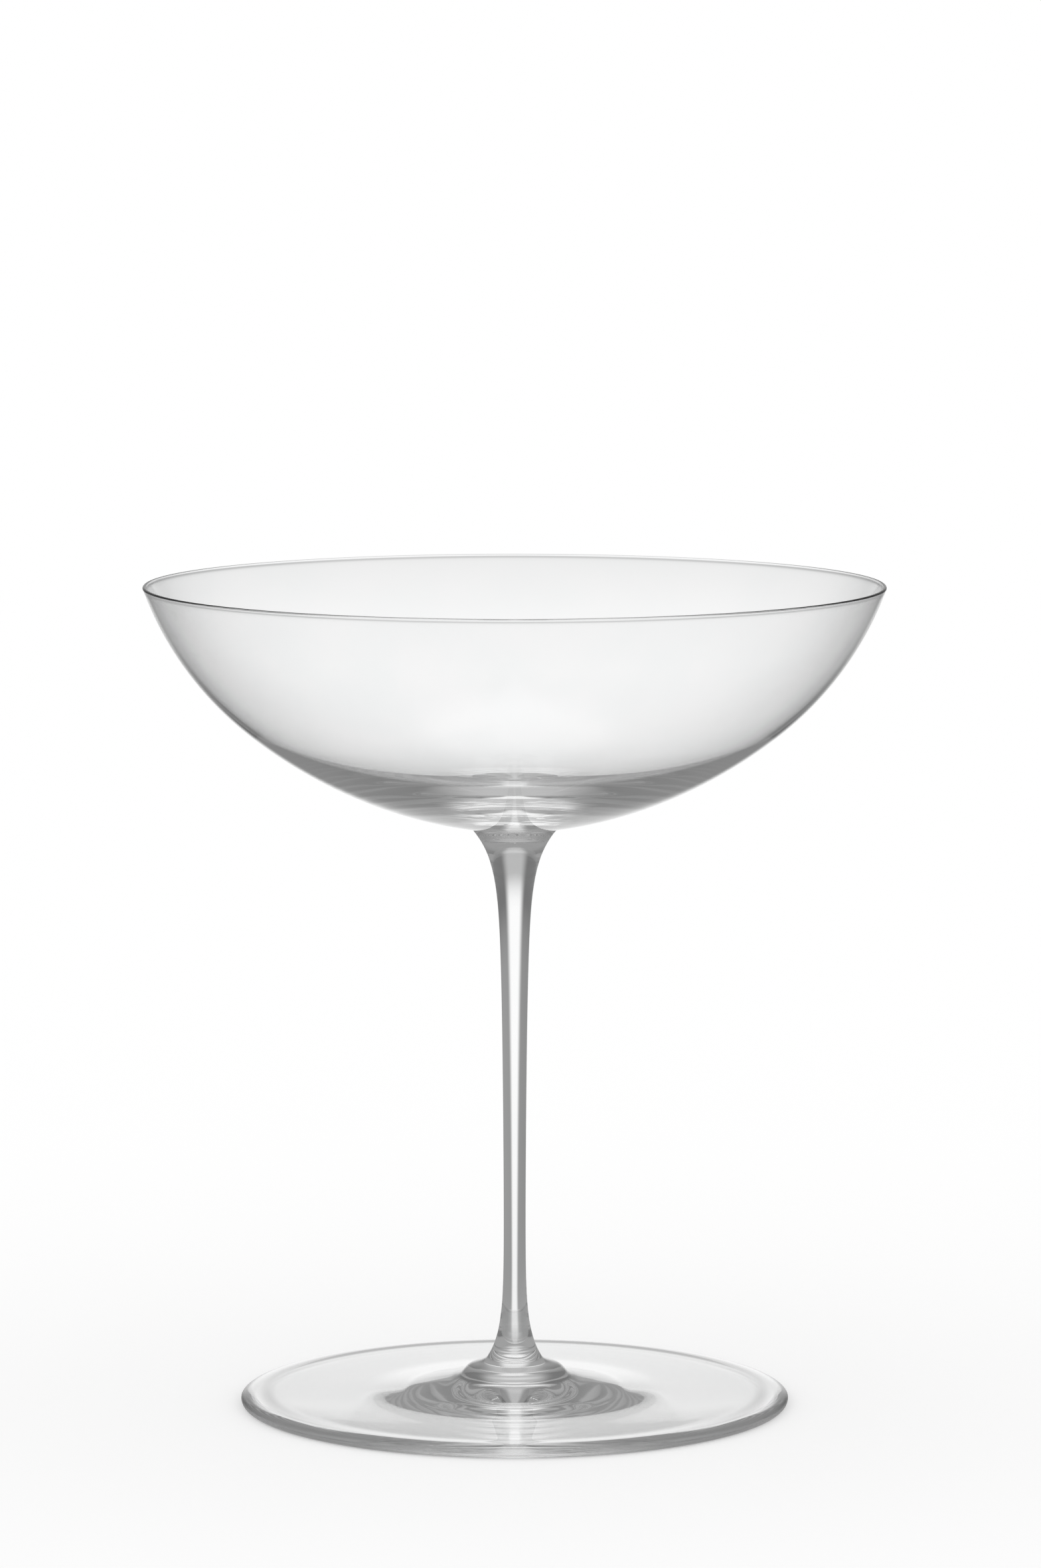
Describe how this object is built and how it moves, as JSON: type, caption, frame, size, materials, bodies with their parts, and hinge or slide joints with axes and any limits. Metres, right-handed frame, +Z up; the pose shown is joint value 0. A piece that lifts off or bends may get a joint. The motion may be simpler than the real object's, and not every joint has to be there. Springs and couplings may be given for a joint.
{
  "type": "coupe glass",
  "caption": "Clear coupe glass: a shallow round bowl with a thin fire-polished lip and a thick base, on a slender drawn stem and a wide round foot, for serving drinks.",
  "frame": {"origin": "on the table under the middle of the foot, in the plane of the foot's resting ring", "axes": "+Z up along the glass's axis, through the stem to the middle of the bowl; +X and +Y level, the glass being round"},
  "size_m": [0.12, 0.12, 0.134],
  "materials": {
    "clear_glass": "fire-polished, clear and colourless"
  },
  "bodies": {
    "root": {"bowl": "clear_glass", "stem": "clear_glass", "foot": "clear_glass"}
  },
  "joints": []
}
